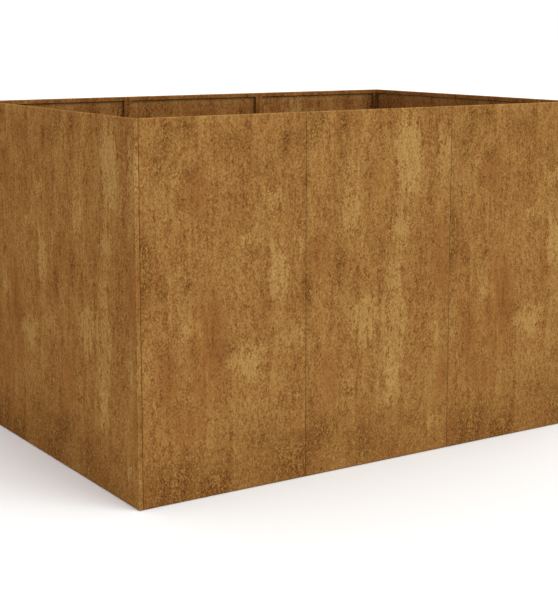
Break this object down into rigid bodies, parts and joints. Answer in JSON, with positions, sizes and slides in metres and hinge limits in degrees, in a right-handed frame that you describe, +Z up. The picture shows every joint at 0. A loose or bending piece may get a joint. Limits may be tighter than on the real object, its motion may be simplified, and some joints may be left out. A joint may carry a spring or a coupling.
{
  "type": "planter box",
  "caption": "Open rectangular planter box of folded, rusted steel sheet panels, joined inside by bolted strips, with a drained base pan.",
  "frame": {"origin": "on the ground, under the middle of the box", "axes": "+X along the length, +Y from the front wall to the back wall, +Z up"},
  "size_m": [0.6, 0.4, 0.4],
  "materials": {
    "rusted_sheet": "matte",
    "zinc_steel": "satin"
  },
  "bodies": {
    "root": {"front_panel_left": "rusted_sheet", "front_panel_middle": "rusted_sheet", "front_panel_right": "rusted_sheet", "back_panel_left": "rusted_sheet", "back_panel_middle": "rusted_sheet", "back_panel_right": "rusted_sheet", "end_panel_left": "rusted_sheet", "end_panel_right": "rusted_sheet", "seam_strip_front_left": "rusted_sheet", "seam_strip_front_right": "rusted_sheet", "seam_strip_back_left": "rusted_sheet", "seam_strip_back_right": "rusted_sheet", "corner_strip_front_left": "rusted_sheet", "corner_strip_front_right": "rusted_sheet", "corner_strip_back_left": "rusted_sheet", "corner_strip_back_right": "rusted_sheet", "base_pan": "rusted_sheet", "weld_studs": "zinc_steel", "washers": "zinc_steel", "hex_nuts": "zinc_steel"}
  },
  "joints": []
}
